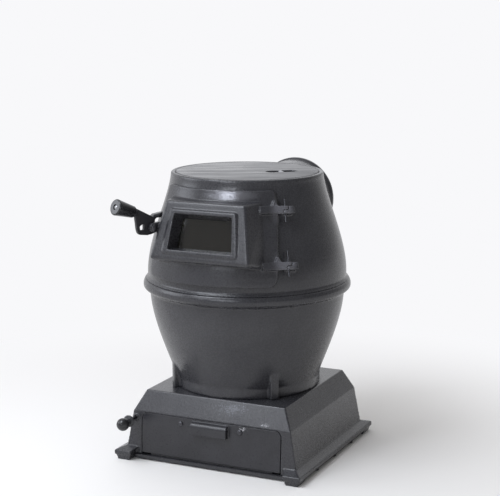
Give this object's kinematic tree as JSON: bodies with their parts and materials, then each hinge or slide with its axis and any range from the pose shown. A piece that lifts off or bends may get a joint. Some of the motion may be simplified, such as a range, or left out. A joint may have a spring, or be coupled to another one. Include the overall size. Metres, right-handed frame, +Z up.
{
  "type": "potbelly stove",
  "caption": "Potbelly solid fuel stove: square ash base with drawer and shaker, round cast pot, barrel with a glazed feed door and latch, lift-off lid, rear flue collar.",
  "frame": {"origin": "on the floor, under the middle of the stove's outer box; the stove's upright axis stands 0.0136 m behind it", "axes": "+Z up, +Y to the back, where the flue collar points, +X to the right seen from the front, where the door's hinges are"},
  "size_m": [0.4278, 0.5512, 0.5835],
  "materials": {
    "painted_iron": "satin charcoal stove paint over a fine cast skin",
    "pan_sheet": "thin satin black paint on folded sheet",
    "bare_steel": "bare, slightly heat-tinted",
    "black_grip": "glossy black moulded phenolic",
    "seal_rope": "braided glass fibre rope",
    "gasket_paper": "pressed fibre board",
    "stove_glass": "smooth heat-proof glass over a dark firebox"
  },
  "bodies": {
    "stove_body": {"ash_base": "painted_iron", "bottom_plate": "painted_iron", "fire_pot": "painted_iron", "upper_body": "painted_iron", "flue_collar": "painted_iron", "grate_frame": "painted_iron", "plate_screws": "bare_steel", "pot_bolts": "bare_steel", "body_bolts": "bare_steel", "body_nuts": "bare_steel", "collar_bolts": "bare_steel", "upper_hinge_pin": "bare_steel", "lower_hinge_pin": "bare_steel", "belt_rope": "seal_rope", "collar_gasket": "gasket_paper"},
    "lid": {"lid": "painted_iron"},
    "door": {"feed_door": "painted_iron", "door_rope": "seal_rope", "door_glass": "stove_glass", "glass_gasket": "gasket_paper", "glass_clips": "bare_steel", "clip_screws": "bare_steel"},
    "latch": {"latch_lever": "painted_iron", "latch_grip": "black_grip", "grip_screw": "bare_steel", "latch_nut": "bare_steel", "latch_bolt": "bare_steel"},
    "drawer": {"drawer_front": "painted_iron", "ash_pan": "pan_sheet", "pan_bolts": "bare_steel", "pan_nuts": "bare_steel"},
    "grate": {"shaker_grate": "painted_iron"},
    "shaker": {"shaker_rod": "bare_steel", "shaker_collar": "painted_iron", "shaker_knob": "black_grip"}
  },
  "joints": [
    {"name": "door_hinge", "type": "hinge", "parent": "stove_body", "child": "door", "pos_m": [0.1364, -0.10577, 0.5284], "axis": [-0.1774, 0.237, 0.9552], "range_deg": [0, 88]},
    {"name": "latch_lift", "type": "hinge", "parent": "door", "child": "latch", "pos_m": [-0.112, -0.19236, 0.4904], "axis": [-0.9135, 0.4067, 0], "range_deg": [-8, 12]},
    {"name": "lid_lift", "type": "slide", "parent": "stove_body", "child": "lid", "axis": [0, 0, 1], "range_m": [0, 0.06]},
    {"name": "drawer_slide", "type": "slide", "parent": "stove_body", "child": "drawer", "axis": [0, -1, 0], "range_m": [0, 0.3]},
    {"name": "grate_turn", "type": "hinge", "parent": "stove_body", "child": "grate", "pos_m": [0, 0.01364, 0.1326], "axis": [0, 0, 1], "range_deg": [-7.5, 7.5]},
    {"name": "shaker_pull", "type": "slide", "parent": "stove_body", "child": "shaker", "axis": [0, -1, 0], "range_m": [-0.02, 0.02]}
  ],
  "couplings": [
    {"joint": "shaker_pull", "follows": "grate_turn", "m_per_rad": 0.15}
  ]
}
